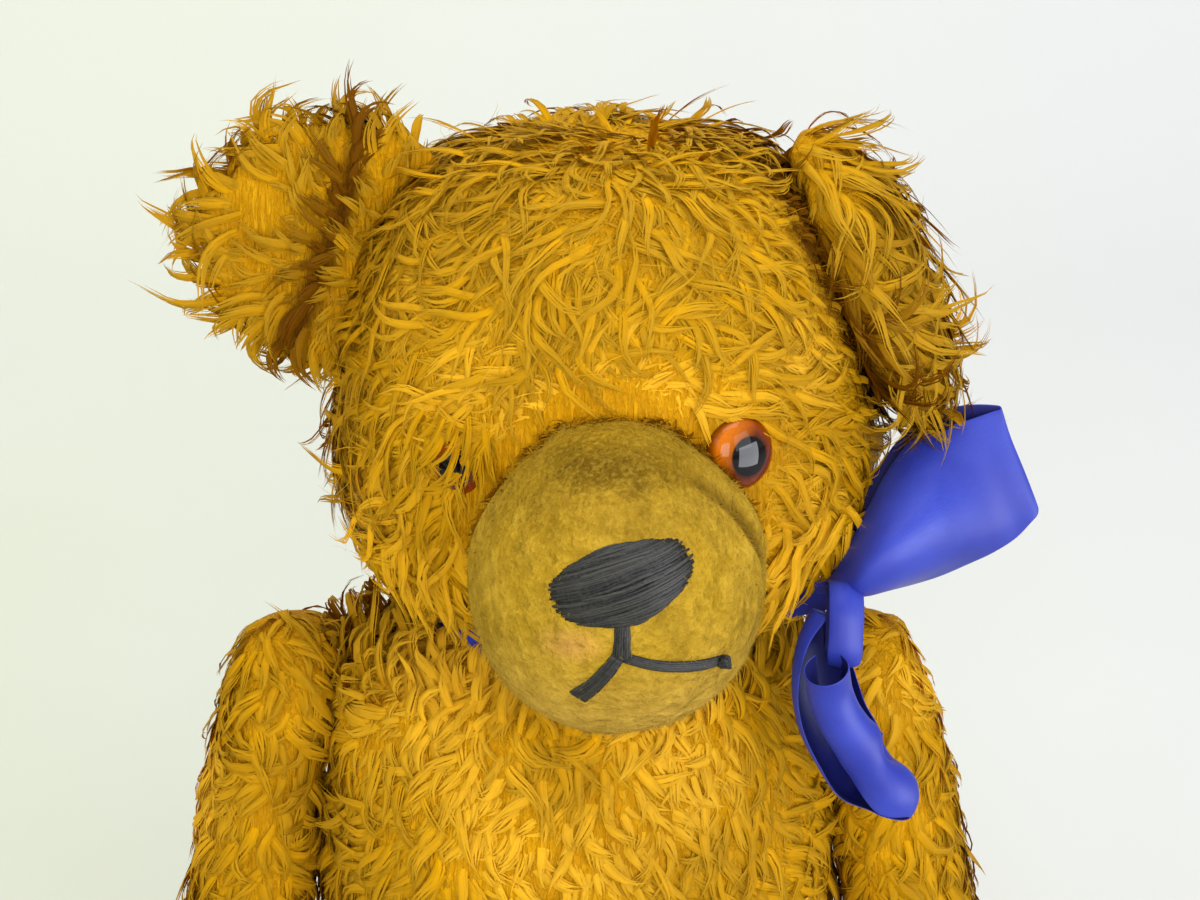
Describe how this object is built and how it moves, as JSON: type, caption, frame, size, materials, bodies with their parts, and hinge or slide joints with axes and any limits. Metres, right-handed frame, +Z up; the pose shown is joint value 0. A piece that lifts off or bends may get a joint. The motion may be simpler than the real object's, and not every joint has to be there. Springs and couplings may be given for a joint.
{
  "type": "teddy bear",
  "caption": "Old jointed teddy bear in worn gold plush, sitting, with glass eyes, a sheared muzzle, a stitched nose and mouth, a folded ear and a satin neck ribbon.",
  "frame": {"origin": "on the flat of the seat, under the middle of the neck", "axes": "+Z up through the neck, -Y the way the bear faces, +X to the bear's own left"},
  "size_m": [0.2274, 0.2163, 0.3261],
  "materials": {
    "gold_plush": "wavy gold plush, worn thin in places",
    "sheared_plush": "short sheared plush, soiled",
    "pad_cloth": "short sheared plush",
    "amber_glass": "clear domed glass, amber and black painted behind",
    "thread": "charcoal embroidery thread",
    "ribbon": "blue satin",
    "board": "pressed board",
    "steel": "plain steel"
  },
  "bodies": {
    "torso": {"torso": "gold_plush", "neck_ribbon": "ribbon", "neck_body_disc": "board", "neck_body_washer": "steel", "neck_cotter_pin": "steel", "shoulder_left_body_disc": "board", "shoulder_left_body_washer": "steel", "shoulder_left_cotter_pin": "steel", "shoulder_right_body_disc": "board", "shoulder_right_body_washer": "steel", "shoulder_right_cotter_pin": "steel", "hip_left_body_disc": "board", "hip_left_body_washer": "steel", "hip_left_cotter_pin": "steel", "hip_right_body_disc": "board", "hip_right_body_washer": "steel", "hip_right_cotter_pin": "steel"},
    "head": {"head": "gold_plush", "muzzle": "sheared_plush", "ear_left": "gold_plush", "ear_right": "gold_plush", "eye_left": "amber_glass", "eye_right": "amber_glass", "eye_shank_left": "steel", "eye_shank_right": "steel", "nose_stitching": "thread", "mouth_stitch_centre": "thread", "mouth_stitch_left": "thread", "mouth_stitch_right": "thread", "neck_head_disc": "board", "neck_head_washer": "steel"},
    "arm_left": {"arm_left": "gold_plush", "paw_pad_left": "pad_cloth", "shoulder_left_arm_disc": "board", "shoulder_left_arm_washer": "steel"},
    "leg_left": {"leg_left": "gold_plush", "foot_pad_left": "pad_cloth", "hip_left_leg_disc": "board", "hip_left_leg_washer": "steel"},
    "arm_right": {"arm_right": "gold_plush", "paw_pad_right": "pad_cloth", "shoulder_right_arm_disc": "board", "shoulder_right_arm_washer": "steel"},
    "leg_right": {"leg_right": "gold_plush", "foot_pad_right": "pad_cloth", "hip_right_leg_disc": "board", "hip_right_leg_washer": "steel"}
  },
  "joints": [
    {"name": "neck", "type": "hinge", "parent": "torso", "child": "head", "pos_m": [0, 0, 0.195], "axis": [0, 0, 1], "range_deg": [-60, 30], "deforming": ["neck_ribbon"]},
    {"name": "shoulder_left", "type": "hinge", "parent": "torso", "child": "arm_left", "pos_m": [0.064, 0, 0.166], "axis": [-0.9925, 0, -0.1219], "range_deg": [-110, 100], "deforming": ["neck_ribbon"]},
    {"name": "shoulder_right", "type": "hinge", "parent": "torso", "child": "arm_right", "pos_m": [-0.064, 0, 0.166], "axis": [-0.9925, 0, 0.1219], "range_deg": [-110, 100]},
    {"name": "hip_left", "type": "hinge", "parent": "torso", "child": "leg_left", "pos_m": [0.043, 0, 0.038], "axis": [0.9903, 0, -0.1392], "range_deg": [-15, 95]},
    {"name": "hip_right", "type": "hinge", "parent": "torso", "child": "leg_right", "pos_m": [-0.043, 0, 0.038], "axis": [0.9903, 0, 0.1392], "range_deg": [-15, 95]}
  ]
}
